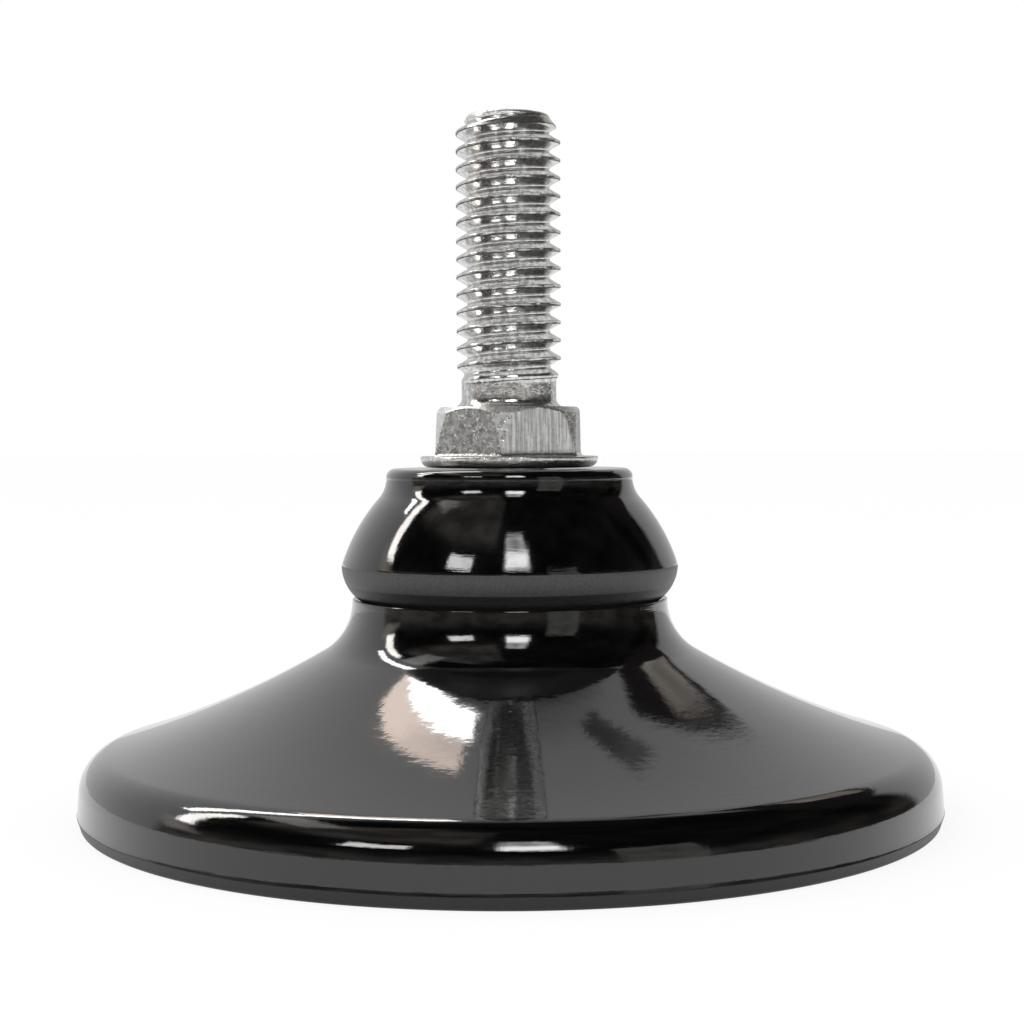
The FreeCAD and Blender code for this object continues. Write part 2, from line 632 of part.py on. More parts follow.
def make_levelling_stud(doc, v):
    """The stud: thread, neck, hexagon, flange, shank and headed end in one piece."""
    body = new_body(doc, "levelling_stud")
    revolve(body, stud_section(body, v), "shaft")
    hexagon = body.newObject("PartDesign::AdditivePrism", "hexagon")
    hexagon.Polygon = 6
    hexagon.AttachmentSupport = [(plane(body, "XY_Plane"), "")]
    hexagon.MapMode = "FlatFace"
    hexagon.setExpression("Circumradius", "Sizes.hex_corner")
    hexagon.setExpression("Height", "Sizes.hex_height")
    hexagon.setExpression("AttachmentOffset.Base.z", "Sizes.flange_top")
    hexagon.setExpression("AttachmentOffset.Rotation.Angle", "Sizes.hex_turn")
    doc.recompute()
    whole = body.Shape.Volume
    revolve(body, hex_trim(body, v), "hex_corners", "PartDesign::Groove")
    doc.recompute()
    if body.Shape.Volume >= whole:
        raise RuntimeError("the hexagon's corners were not trimmed")
    round_edges(doc, body, "neck_root", [(v["stud_neck_radius"], v["hex_top"])], "neck_flare")
    return body


def make_dished_washer(doc, v):
    """The washer under the web, dished about the same centre as the socket."""
    body = new_body(doc, "dished_washer")
    swivel = (0, v["swivel_height"])
    over_bore = (v["shank_bore"], sphere_height(v, v["washer_over"], v["shank_bore"]))
    over_edge = (v["washer_radius"], sphere_height(v, v["washer_over"], v["washer_radius"]))
    under_edge = (v["washer_radius"], sphere_height(v, v["washer_under"], v["washer_radius"]))
    under_bore = (v["shank_bore"], sphere_height(v, v["washer_under"], v["shank_bore"]))
    section = Outline(body, "washer_section", v)
    section.arc("over", swivel, over_bore, over_edge)
    section.line("edge", over_edge, under_edge)
    section.arc("under", swivel, under_edge, under_bore, clockwise=True)
    section.line("bore", under_bore, over_bore)
    section.close()
    section.about_swivel("over", "washer_over")
    section.about_swivel("under", "washer_under")
    section.upright("edge", "bore")
    section.out("over", "start", "shank_bore")
    section.out("over", "end", "washer_radius")
    revolve(body, section, "washer")
    round_edges(doc, body, "washer_edges", [over_edge, under_edge], "washer_round")
    return body


def check(doc, bodies):
    """Stops the build where an object failed, a sketch is loose or a sub-part isn't one sound solid."""
    doc.recompute()
    for item in doc.Objects:
        if "Invalid" in item.State or "Error" in item.State:
            raise RuntimeError(f"{item.Name} failed: {item.State}")
        if item.TypeId == "Sketcher::SketchObject" and not item.FullyConstrained:
            raise RuntimeError(f"{item.Name} is not fully constrained")
    for body in bodies:
        shape = body.Shape
        if shape.isNull() or not shape.isValid() or len(shape.Solids) != 1:
            raise RuntimeError(f"{body.Label} is not one sound solid")


def main():
    doc = FreeCAD.newDocument("levelling_foot")
    v = make_sheet(doc)
    bodies = [
        make_bell_base(doc, v),
        make_swivel_cap(doc, v),
        make_levelling_stud(doc, v),
        make_dished_washer(doc, v),
    ]
    check(doc, bodies)
    os.makedirs("parts", exist_ok=True)
    for body in bodies:
        body.Shape.exportStep(os.path.join("parts", body.Label + ".step"))
        print(body.Label, "volume", round(body.Shape.Volume, 1), "mm3")


main()
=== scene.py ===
import math

import bpy
from bpy.props import FloatProperty, FloatVectorProperty, IntProperty, PointerProperty
from mathutils import Euler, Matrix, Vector, noise


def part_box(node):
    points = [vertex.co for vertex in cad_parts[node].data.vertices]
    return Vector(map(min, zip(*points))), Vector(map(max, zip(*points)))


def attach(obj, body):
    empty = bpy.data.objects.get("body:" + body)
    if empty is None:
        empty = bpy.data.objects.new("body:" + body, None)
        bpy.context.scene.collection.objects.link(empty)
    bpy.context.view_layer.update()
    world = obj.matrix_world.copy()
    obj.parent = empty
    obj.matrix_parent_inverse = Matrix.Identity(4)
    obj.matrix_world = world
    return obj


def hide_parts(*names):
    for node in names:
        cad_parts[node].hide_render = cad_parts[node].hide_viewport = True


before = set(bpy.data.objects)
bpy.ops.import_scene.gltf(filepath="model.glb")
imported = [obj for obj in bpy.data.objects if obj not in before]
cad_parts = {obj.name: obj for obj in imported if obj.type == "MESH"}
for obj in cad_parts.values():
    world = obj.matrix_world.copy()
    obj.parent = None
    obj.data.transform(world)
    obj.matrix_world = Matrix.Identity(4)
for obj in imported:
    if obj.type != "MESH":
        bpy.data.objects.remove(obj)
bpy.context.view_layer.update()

bl_info = {
    "name": "Levelling foot",
    "version": (1, 0, 0),
    "blender": (4, 5, 0),
    "location": "3D View > Sidebar > Levelling foot",
    "description": "Dresses a swivelling levelling foot with moulded and zinc-plated surfaces",
    "category": "Object",
}

MM = 0.001
BASE_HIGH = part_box("bell_base")[1]
CAP_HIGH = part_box("swivel_cap")[1]
STUD_LOW, STUD_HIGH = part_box("levelling_stud")


def metres(name, description, value):
    """A size in the sidebar, given here in metres."""
    return FloatProperty(
        name=name, description=description, default=value, min=0.0, unit="LENGTH", precision=5
    )


def length(name, description, millimetres):
    """A size in the sidebar, given here in millimetres."""
    return metres(name, description, millimetres * MM)


def degrees(name, description, value):
    """An angle in the sidebar, given here in degrees."""
    return FloatProperty(name=name, description=description, default=math.radians(value), subtype="ANGLE")


def tint(name, description, red, green, blue):
    """A colour in the sidebar."""
    return FloatVectorProperty(
        name=name, description=description, default=(red, green, blue), min=0.0, max=1.0, subtype="COLOR"
    )


class LevellingFootBase(bpy.types.PropertyGroup):
    """Sizes of the bell-shaped moulding that stands on the floor."""

    radius: metres("Radius", "Out to the moulding line", BASE_HIGH.x)
    rim_height: metres("Rim height", "Floor to the rim of the neck", BASE_HIGH.z)
    line_height: length("Line height", "Floor to the moulding line", 1.05)
    line_proud: length("Line proud", "How far the moulding line's flash stands out", 0.035)
    line_width: length("Line width", "Height of the flash", 0.12)
    foot_setback: length("Foot setback", "Moulding line in to the floor edge", 0.25)
    foot_width: length("Foot width", "Width of the ring that stands on the floor", 3.0)
    foot_round: length("Foot rounding", "Rounding of the ring's outer edge", 0.35)
    skirt_height: length("Skirt height", "Floor to the start of the shoulder", 3.25)
    skirt_taper: length("Skirt taper", "Radial taper up to the shoulder", 0.2)
    shoulder: length("Shoulder", "Round of the shoulder", 3.4)
    flare: length("Flare", "Hollow curve of the flare", 88.0)
    throat: length("Throat", "Curve where the flare turns up into the neck", 5.35)
    neck: length("Neck", "Radius of the neck at its rim", 14.05)
    neck_straight: length("Neck straight", "Tapered stretch below the rim", 0.5)
    neck_draft: degrees("Neck draft", "Taper of the neck", 4)
    rim_land: length("Rim land", "Width of the flat on the rim", 0.24)
    rim_round: length("Rim rounding", "Rounding of the rim's outer edge", 0.12)
    swivel_height: length("Swivel height", "Floor to the centre that the cap swivels about", 35.0)
    wall: length("Wall", "Wall of the flare", 3.0)
    web: length("Web", "Web between the socket and the washer", 3.0)
    web_hole: length("Web hole", "Radius of the hole that the shank passes through", 5.804)
    hub_inner: length("Hub inside", "Radius inside the ring round the washer", 11.954)
    hub_wall: length("Hub wall", "Wall of that ring", 2.0)
    inside_taper: length("Inside taper", "Radial taper inside the skirt", 0.15)
    rib: length("Rib", "Thickness of a rib", 1.8)
    rib_setback: length("Rib setback", "Floor to the ribs", 1.0)
    ribs: IntProperty(name="Ribs", description="Ribs round the underside", default=8, min=2)


class LevellingFootCap(bpy.types.PropertyGroup):
    """Sizes of the moulded cap that leans on the base's neck."""

    radius: metres("Radius", "Out to the moulding line", CAP_HIGH.x)
    top: metres("Top", "Floor to the top of the cap", CAP_HIGH.z)
    line_height: length("Line height", "Floor to the moulding line", 22.0)
    satin: length("Satin height", "Height of the satin part of the bead, under the moulding line", 1.95)
    line_proud: length("Line proud", "How far the moulding line's flash stands out", 0.05)
    line_width: length("Line width", "Height of the flash", 0.14)
    dome: length("Dome", "Bulge above the moulding line", 17.0)
    dome_drop: length("Dome drop", "Moulding line down to the centre of that bulge", 5.25)
    collar: length("Collar", "Radius of the collar at the top", 11.0)
    fillet: length("Fillet", "Hollow between the bulge and the collar", 2.6)
    collar_round: length("Collar rounding", "Rounding of the collar's top edge", 0.8)
    seat_gap: length("Seat gap", "Gap between the spherical seats", 0.15)
    bore: length("Bore", "Radius of the bore round the shank", 3.58)


class LevellingFootStud(bpy.types.PropertyGroup):
    """Sizes of the one-piece steel stud."""

    top: metres("Top", "Floor to the end of the stud", STUD_HIGH.z)
    bottom: metres("Bottom", "Floor to the headed end", STUD_LOW.z)
    pitch: length("Pitch", "Height of one turn of the 3/8-16 thread", 25.4 / 16)
    crest: length("Crest", "Radius of the thread's crests", 4.65)
    root: length("Root", "Radius of the thread's roots", 3.67)
    neck: length("Neck", "Radius of the plain neck under the thread", 4.22)
    neck_top: length("Neck top", "Floor to the first of the thread", 38.17)
    hex_top: length("Hexagon top", "Floor to the top of the hexagon", 35.97)
    hex_flat: length("Hexagon flat", "Axis to a flat of the hexagon", 6.2)
    hex_face: length("Hexagon face", "Radius of the round top face", 6.05)
    hex_chamfer: length("Hexagon chamfer", "Height of the chamfer below that face", 0.55)
    hex_wear: length("Corner wear", "How far the corners taper in towards the top", 0.51)
    hex_turn: degrees("Hexagon turn", "From +X to the first corner", 24.7)
    flange: length("Flange", "Radius of the flange", 7.95)
    flange_top: length("Flange top", "Floor to the top of the flange", 31.62)
    flange_round: length("Flange rounding", "Rounding of the flange's lower edge", 0.85)
    flange_bottom: length("Flange bottom", "Floor to the underside of the flange", 30.62)
    shank: length("Shank", "Radius of the plain shank", 3.5)
    head: length("Head", "Radius of the headed end", 5.4)
    head_top: length("Head top", "Floor to the top of the headed end", 9.364)
    head_edge: length("Head edge", "Height of the head's upright edge", 0.6)


class LevellingFootLooks(bpy.types.PropertyGroup):
    """Colours of the surfaces."""

    moulding: tint("Moulding", "Gloss black of the mouldings", 0.0015, 0.0015, 0.0016)
    bead: tint("Bead", "Satin black below the cap's moulding line", 0.052, 0.052, 0.053)
    band: tint("Band", "Satin black below the base's moulding line", 0.009, 0.009, 0.0095)
    zinc: tint("Zinc", "Bright zinc plate", 0.97, 0.97, 0.955)
    zinc_bright: tint("Polished zinc", "Zinc plate on the hexagon's and the flange's faces", 1.0, 1.0, 0.98)
    zinc_dull: tint("Dull zinc", "Zinc plate where it is dull or worn", 0.6, 0.597, 0.585)


class LevellingFootStudio(bpy.types.PropertyGroup):
    """The camera and the light."""

    lens: FloatProperty(name="Lens", description="Focal length", default=67.4, unit="CAMERA")
    distance: length("Distance", "Axis of the foot to the camera", 171.28)
    height: length("Height", "Floor to the camera", 33.7)
    aside: length("Aside", "Camera to the right of the foot's axis", 0.22)
    pitch: degrees("Pitch", "How far the camera looks down", 2.375)
    roll: degrees("Roll", "How far the camera leans over", -0.25)


OWNERS = (
    ("foot_base", LevellingFootBase),
    ("foot_cap", LevellingFootCap),
    ("foot_stud", LevellingFootStud),
    ("foot_looks", LevellingFootLooks),
    ("foot_studio", LevellingFootStudio),
)


# Node materials

class Tree:
    """A node tree while it is made: short ways to add its nodes and join them."""

    def __init__(self, owner):
        owner.use_nodes = True
        self.tree = owner.node_tree
        self.tree.nodes.clear()

    def node(self, kind, inputs=(), **settings):
        """A new node with its settings, and with its inputs fed by name or number."""
        made = self.tree.nodes.new(kind)
        for key, value in settings.items():
            setattr(made, key, value)
        for key, value in dict(inputs).items():
            self.join(value, made.inputs[key])
        return made

    def join(self, source, target):
        """Feeds a socket from another, or sets it to a plain value."""
        if isinstance(source, bpy.types.NodeSocket):
            self.tree.links.new(source, target)
        elif isinstance(source, (int, float)):
            target.default_value = source
        else:
            target.default_value = (*source, 1.0)

    def number(self, operation, first, second=0.0):
        return self.node("ShaderNodeMath", {0: first, 1: second}, operation=operation).outputs[0]

    def product(self, *factors):
        result = factors[0]
        for factor in factors[1:]:
            result = self.number("MULTIPLY", result, factor)
        return result

    def spread(self, source, low, high, to_low=0.0, to_high=1.0, smooth=False):
        """Stretches low to high of a value to the range to_low to to_high, and stops at its ends."""
        inputs = {"Value": source, "From Min": low, "From Max": high, "To Min": to_low, "To Max": to_high}
        kind = "SMOOTHSTEP" if smooth else "LINEAR"
        return self.node("ShaderNodeMapRange", inputs, interpolation_type=kind).outputs["Result"]

    def split(self, vector):
        return self.node("ShaderNodeSeparateXYZ", {0: vector}).outputs[:3]

    def gather(self, x, y, z):
        return self.node("ShaderNodeCombineXYZ", {0: x, 1: y, 2: z}).outputs[0]

    def cloud(self, point, scale, detail=2.0, roughness=0.5):
        inputs = {"Vector": point, "Scale": scale, "Detail": detail, "Roughness": roughness}
        return self.node("ShaderNodeTexNoise", inputs).outputs["Fac"]

    def cells(self, point, scale):
        return self.node("ShaderNodeTexVoronoi", {"Vector": point, "Scale": scale}).outputs["Distance"]

    def blend(self, share, first, second):
        """A colour between two colours."""
        inputs = {"Factor": share, "A": first, "B": second}
        return self.node("ShaderNodeMix", inputs, data_type="RGBA").outputs["Result"]


class Finish(Tree):
    """A surface finish while it is made."""

    def __init__(self, name):
        self.material = bpy.data.materials.new(name)
        super().__init__(self.material)
        self.surface = self.node("ShaderNodeBsdfPrincipled")
        self.node("ShaderNodeOutputMaterial", {"Surface": self.surface.outputs["BSDF"]})
        self.bump = None

    def place(self):
        """The point being shaded, in millimetres from the middle of the floor ring."""
        point = self.node("ShaderNodeTexCoord").outputs["Object"]
        inputs = {0: point, "Scale": 1 / MM}
        return self.node("ShaderNodeVectorMath", inputs, operation="SCALE").outputs[0]

    def round_the_axis(self, along, around):
        """A point that follows turning marks: it changes fast along the outline and slowly round the axis."""
        x, y, z = self.split(self.place())
        out = self.number("SQRT", self.number("ADD", self.product(x, x), self.product(y, y)))
        # The unit direction in plan changes smoothly all the way round.
        units = [self.number("DIVIDE", value, self.number("ADD", out, 0.001)) for value in (x, y)]
        outline = self.number("ADD", out, self.product(z, 1.7))
        return self.gather(*[self.product(unit, around) for unit in units], self.product(outline, along))

    def raise_by(self, height, millimetres):
        """Adds a height pattern, 0 to 1, to the surface."""
        inputs = {"Strength": 1.0, "Distance": millimetres * MM, "Height": height}
        if self.bump is not None:
            inputs["Normal"] = self.bump
        self.bump = self.node("ShaderNodeBump", inputs).outputs["Normal"]

    def set(self, **values):
        for name, value in values.items():
            self.join(value, self.surface.inputs[name.replace("_", " ").title().replace("Ior", "IOR")])

    def done(self, coated=False):
        self.join(self.bump, self.surface.inputs["Normal"])
        if coated:
            self.join(self.bump, self.surface.inputs["Coat Normal"])
        return self.material


def times(colour, factor):
    return tuple(value * factor for value in colour)


def gloss_black(name, colour, ripple):
    """Polished mould finish: a clear gloss over black, with the mould's faint turning marks."""
    finish = Finish(name)
    fine = finish.cloud(finish.round_the_axis(1.0, 1.5), 5.0, detail=3.0, roughness=0.6)
    broad = finish.cloud(finish.round_the_axis(0.35, 2.5), 1.0, detail=1.0)
    orange_peel = finish.cloud(finish.place(), 1.1)
    dust = finish.spread(finish.cells(finish.place(), 1.4), 0.0, 0.05, 1.0, 0.0)
    finish.raise_by(broad, ripple * 6.0)
    finish.raise_by(fine, ripple)
    finish.raise_by(orange_peel, ripple * 1.5)
    specks = finish.product(dust, finish.spread(orange_peel, 0.55, 0.7))
    finish.set(
        base_color=finish.blend(specks, colour, times(colour, 8.0)),
        roughness=finish.spread(fine, 0.3, 0.7, 0.05, 0.09),
        ior=1.5,
        coat_weight=1.0,
        coat_roughness=0.03,
        coat_ior=1.5,
    )
    return finish.done(coated=True)


def satin_black(name, colour):
    """Spark-eroded mould finish: a fine even grain that scatters the light."""
    finish = Finish(name)
    grain = finish.cloud(finish.place(), 5.0, detail=4.0, roughness=0.7)
    mottle = finish.cloud(finish.place(), 1.6)
    finish.raise_by(grain, 0.02)
    finish.raise_by(mottle, 0.01)
    finish.set(
        base_color=finish.blend(finish.spread(grain, 0.3, 0.7), times(colour, 0.7), times(colour, 1.4)),
        roughness=finish.spread(grain, 0.3, 0.7, 0.28, 0.46),
        ior=1.5,
    )
    return finish.done()


def zinc_plate(name, bright, dull, roughness, pits, strokes=0.0, coarse=5.0, nicks=0.0):
    """Bright zinc over cold-formed steel, with fine pits.

    Strokes are drag marks along the axis and nicks are scratches, both as a height in millimetres.
    """
    finish = Finish(name)
    place = finish.place()
    clouds = finish.cloud(place, 2.2, detail=4.0, roughness=0.7)
    grain = finish.cloud(place, coarse, detail=3.0, roughness=0.7)
    holes = finish.spread(finish.cells(place, 2.6), 0.04, 0.26)
    tone = finish.spread(clouds, 0.36, 0.62)
    if strokes:
        x, y, z = finish.split(place)
        drawn = finish.gather(finish.product(x, 5.0), finish.product(y, 5.0), finish.product(z, 0.2))
        marks = finish.spread(finish.cloud(drawn, 1.0, detail=2.0, roughness=0.6), 0.38, 0.6)
        finish.raise_by(marks, strokes)
        tone = finish.number("ADD", finish.product(tone, 0.25), finish.product(marks, 0.75))
    # The floors of the pits are dark.
    tone = finish.product(tone, finish.spread(holes, 0.0, 1.0, 1.0 - min(pits * 20.0, 0.9), 1.0))
    finish.raise_by(clouds, pits * 2.5)
    finish.raise_by(grain, pits)
    finish.raise_by(holes, pits)
    colour = finish.blend(tone, dull, bright)
    if nicks:
        # Scratches follow the lines where a noise passes its middle value.
        path = finish.cloud(place, 1.3, detail=2.0)
        off_line = finish.number("ABSOLUTE", finish.number("SUBTRACT", path, 0.5))
        line = finish.spread(off_line, 0.01, 0.026, 1.0, 0.0)
        line = finish.product(line, finish.spread(grain, 0.4, 0.55))
        finish.raise_by(line, nicks)
        colour = finish.blend(line, colour, (1.0, 1.0, 1.0))
    finish.set(
        base_color=colour,
        roughness=finish.spread(grain, 0.3, 0.7, roughness * 0.7, roughness * 1.5),
        metallic=0.95,
    )
    return finish.done()


# Turned shapes

# Finish numbers, in the order of each piece's materials. LOWER is the underside and the tuck of the bead,
# which on the cap is painted darker as shade.
GLOSS, SATIN, LOWER = range(3)
# CREST_SHADE is painted shade: a very dark zinc on the rows under each thread crest.
THREAD, NECK, PITTED, DRAWN, WORN, FLANGE, CREST_SHADE = range(7)

# Points closer than this are one point.
CLOSE = 1e-8


class Section:
    """Half section of a turned shape: points of distance out, height and the finish that follows."""

    def __init__(self):
        self.points = []
        self.finish = GLOSS

    def go(self, point):
        if not self.points or math.dist(point, self.points[-1][:2]) > CLOSE:
            self.points.append((*point, self.finish))

    def run(self, start, end, steps):
        """A straight stretch with points along it."""
        for i in range(steps + 1):
            out = start[0] + (end[0] - start[0]) * i / steps
            self.go((out, start[1] + (end[1] - start[1]) * i / steps))

    def arc(self, centre, start, end, steps):
        """A round stretch, the short way from start to end."""
        radius = math.dist(centre, start)
        first = math.atan2(start[1] - centre[1], start[0] - centre[0])
        last = math.atan2(end[1] - centre[1], end[0] - centre[0])
        turn = (last - first + math.pi) % (2 * math.pi) - math.pi
        for i in range(steps + 1):
            angle = first + turn * i / steps
            self.go((centre[0] + radius * math.cos(angle), centre[1] + radius * math.sin(angle)))


def on_the_way(start, towards, distance):
    share = distance / math.dist(start, towards)
    return (start[0] + (towards[0] - start[0]) * share, start[1] + (towards[1] - start[1]) * share)


def below(centre, radius, out):
    """The point of a circle on its lower side, at a distance out from the axis."""
    return (out, centre[1] - math.sqrt(radius**2 - (out - centre[0]) ** 2))


def beside(centre, radius, rise):
    """The point of a circle on its outer side, at a rise above its centre."""
    return (centre[0] + math.sqrt(radius**2 - rise**2), centre[1] + rise)


def polar(out, angle, up):
    """The point at a distance out from the axis, an angle round it and a height."""
    return (out * math.cos(angle), out * math.sin(angle), up)


def ring_faces(count, rings, columns):
    """Faces from each of the first count rings of points to the next; the first follows the last."""
    faces = []
    for i in range(count):
        low, high = i * columns, (i + 1) % rings * columns
        for k in range(columns):
            after = (k + 1) % columns
            faces.append([low + k, low + after, high + after, high + k])
    return faces


def turn(section, steps, shift):
    """Vertices, faces and finish numbers of a section turned round the axis and moved by the shift."""
    vertices = []
    numbers = []
    for i, (out, up, finish) in enumerate(section.points):
        for k in range(steps):
            angle = 2 * math.pi * k / steps
            moved_out, moved_up = shift(i, angle, out, up)
            vertices.append(polar(moved_out, angle, moved_up))
            numbers.append(finish)
    rings = len(section.points)
    return vertices, ring_faces(rings, rings, steps), numbers


def add_shape(shapes, vertices, faces, numbers):
    """Puts one more closed shape with the others that make up a piece."""
    start = len(shapes[0])
    shapes[0].extend(vertices)
    shapes[1].extend([corner + start for corner in face] for face in faces)
    shapes[2].extend(numbers)


def make_piece(name, shapes, materials, sharp=30.0):
    """A smooth-shaded object from vertices, faces and finish numbers, with its true edges kept sharp."""
    mesh = bpy.data.meshes.new(name)
    mesh.from_pydata(shapes[0], [], shapes[1])
    for material in materials:
        mesh.materials.append(material)
    mesh.polygons.foreach_set("material_index", shapes[2])
    mesh.polygons.foreach_set("use_smooth", [True] * len(mesh.polygons))
    mesh.validate()
    mesh.set_sharp_from_angle(angle=math.radians(sharp))
    piece = bpy.data.objects.new(name, mesh)
    bpy.context.scene.collection.objects.link(piece)
    return piece


def uneven(angle, scale, level):
    """A value from about -1 to 1 that wanders round the axis and comes back to itself."""
    return noise.noise(Vector(polar(scale, angle, level)))


def flash_shift(rings, proud, ragged, wander):
    """Moves the three rings of a flash line, whose edge is ragged and wanders up and down."""

    def shift(i, angle, out, up):
        if i not in rings:
            return out, up
        stands = proud * min(1.0, max(0.0, ragged(angle))) if i == rings[1] else 0.0
        return out + stands, up + wander(angle)

    return shift


class FOOT_OT_make_stage(bpy.types.Operator):
    """Makes the camera, the floor, the white surroundings and the lights"""

    bl_idname = "foot.make_stage"
    bl_label = "Make stage"

    def execute(self, context):
        scene = context.scene
        studio = scene.foot_studio
        camera = bpy.data.objects.new("camera", bpy.data.cameras.new("camera"))
        camera.data.lens = studio.lens
        camera.data.sensor_width = 36.0
        camera.data.clip_start = 0.01
        camera.location = (studio.aside, -studio.distance, studio.height)
        level = Euler((math.radians(90) - studio.pitch, 0.0, 0.0)).to_matrix()
        lean = Euler((0.0, 0.0, studio.roll)).to_matrix()
        camera.rotation_euler = (level @ lean).to_euler()
        scene.collection.objects.link(camera)
        scene.camera = camera
        scene.view_settings.view_transform = "Standard"
        self.make_floor(scene)
        self.make_surroundings(scene)
        for lamp in LAMPS:
            self.make_lamp(scene, *lamp)
        return {"FINISHED"}

    def make_floor(self, scene):
        """A white floor that the camera sees nearly at full white, under the foot's soft shadow."""
        mesh = bpy.data.meshes.new("floor")
        corners = [(x * FLOOR_HALF, y * FLOOR_HALF, 0) for x, y in ((-1, -1), (1, -1), (1, 1), (-1, 1))]
        mesh.from_pydata(corners, [], [(0, 1, 2, 3)])
        floor = bpy.data.objects.new("floor", mesh)
        scene.collection.objects.link(floor)
        material = bpy.data.materials.new("pale_floor")
        tree = Tree(material)
        matt = tree.node("ShaderNodeBsdfDiffuse", {"Color": (0.9, 0.9, 0.9)}).outputs[0]
        path = tree.node("ShaderNodeLightPath")
        glossy = path.outputs["Is Glossy Ray"]
        seen = tree.number("MAXIMUM", path.outputs["Is Camera Ray"], glossy)
        dimmer = tree.spread(glossy, 0.0, 1.0, 1.0, FLOOR_IN_GLOSS)
        glow = tree.node("ShaderNodeEmission", {"Strength": dimmer}).outputs[0]
        mix = tree.node("ShaderNodeMixShader", {0: tree.product(seen, FLOOR_GLOW), 1: matt, 2: glow})
        tree.node("ShaderNodeOutputMaterial", {"Surface": mix.outputs[0]})
        mesh.materials.append(material)

    def make_surroundings(self, scene):
        """White for the camera, an even light on matt surfaces, and the studio in what is glossy."""
        world = bpy.data.worlds.new("studio")
        scene.world = world
        tree = Tree(world)
        path = tree.node("ShaderNodeLightPath")
        seen = tree.blend(path.outputs["Is Diffuse Ray"], self.studio(tree), EVEN_LIGHT)
        seen = tree.blend(path.outputs["Is Camera Ray"], seen, (1.0, 1.0, 1.0))
        background = tree.node("ShaderNodeBackground", {"Color": seen})
        tree.node("ShaderNodeOutputWorld", {"Surface": background.outputs[0]})

    def studio(self, tree):
        """The room that glossy surfaces show: a white sweep behind, a dim room in front, and windows."""
        direction = tree.node("ShaderNodeTexCoord").outputs["Generated"]
        x, y, z = tree.split(direction)
        side = tree.product(tree.number("ARCTAN2", x, tree.product(y, -1.0)), math.degrees(1))
        rise = tree.product(tree.number("ARCSINE", z), math.degrees(1))
        places = {"side": side, "rise": rise}
        # The place on a ceiling one unit up.
        height = tree.number("MAXIMUM", z, 0.02)
        places["ceiling_x"] = tree.number("DIVIDE", x, height)
        places["ceiling_y"] = tree.number("DIVIDE", y, height)
        clouds = tree.cloud(direction, 5.0, detail=3.0)
        # The sweep stands behind the foot, a little to the left, and is darker above and to the right.
        facing = tree.number("ADD", tree.product(x, -0.24), tree.product(y, 0.97))
        behind = tree.spread(facing, 0.36, 0.46, smooth=True)
        sweep = tree.product(tree.spread(rise, 54.0, 67.0, 0.57, 0.15), tree.spread(x, -0.3, 0.3, 1.04, 0.9))
        dim = tree.blend(tree.spread(clouds, 0.4, 0.75), ROOM_DARK, ROOM_DIM)
        near_floor = tree.product(
            tree.spread(rise, 0.0, 27.0, 1.0, 0.0, smooth=True),
            tree.spread(clouds, 0.35, 0.6, 0.4, 1.0),
            tree.spread(side, 55.0, 95.0, 1.0, 0.35),
        )
        dim = tree.blend(near_floor, dim, ROOM_LOW)
        seen = tree.blend(behind, dim, tree.gather(sweep, sweep, sweep))
        for (across, up), low_side, high_side, low_rise, high_rise, soft, lean, patchy, colour in WINDOWS:
            leaning = tree.number("ADD", places[across], tree.product(places[up], lean))
            shares = []
            for place, low, high in ((leaning, low_side, high_side), (places[up], low_rise, high_rise)):
                shares.append(tree.spread(place, low - soft, low + soft, smooth=True))
                shares.append(tree.spread(place, high - soft, high + soft, 1.0, 0.0, smooth=True))
            shares.append(tree.spread(clouds, 0.3, 0.6, 1.0 - patchy, 1.0))
            shares.append(tree.spread(z, 0.0, 0.02))
            inside = tree.product(*shares)
            seen = tree.blend(inside, seen, colour)
        return seen

    def make_lamp(self, scene, name, side, rise, size, strength):
        """A square lamp that faces the foot, from the given degrees to its side and up."""
        side, rise = math.radians(side), math.radians(rise)
        towards = Vector((math.sin(side) * math.cos(rise), -math.cos(side) * math.cos(rise), math.sin(rise)))
        lamp = bpy.data.lights.new(name, "AREA")
        lamp.size = size
        # A lamp's power spreads over its face and half of all directions.
        lamp.energy = strength * size**2 * math.pi
        stand = bpy.data.objects.new(name, lamp)
        stand.location = towards * LAMP_DISTANCE
        stand.rotation_euler = towards.to_track_quat("Z", "Y").to_euler()
        stand.visible_camera = False
        stand.visible_glossy = False
        scene.collection.objects.link(stand)


# Half the floor's width in metres, the share of its own light in what the camera and glossy surfaces see
# of it, and the brightness of that light in glossy surfaces.
FLOOR_HALF = 3.0
FLOOR_GLOW = 0.88
FLOOR_IN_GLOSS = 0.8

# Lamps: name, degrees to the side of the camera and up, width in metres, brightness.
LAMPS = (
    ("key_lamp", -60, 50, 0.8, 1.2),
    ("fill_lamp", 70, 35, 0.8, 0.5),
)
LAMP_DISTANCE = 1.2

# The light that matt surfaces get from all round, and the room that glossy ones show: its darkest parts,
# its paler patches, and its lower part near the floor.
EVEN_LIGHT = (0.75, 0.75, 0.75)
ROOM_DARK = (0.002, 0.002, 0.002)
ROOM_DIM = (0.035, 0.033, 0.03)
ROOM_LOW = (0.32, 0.3, 0.28)

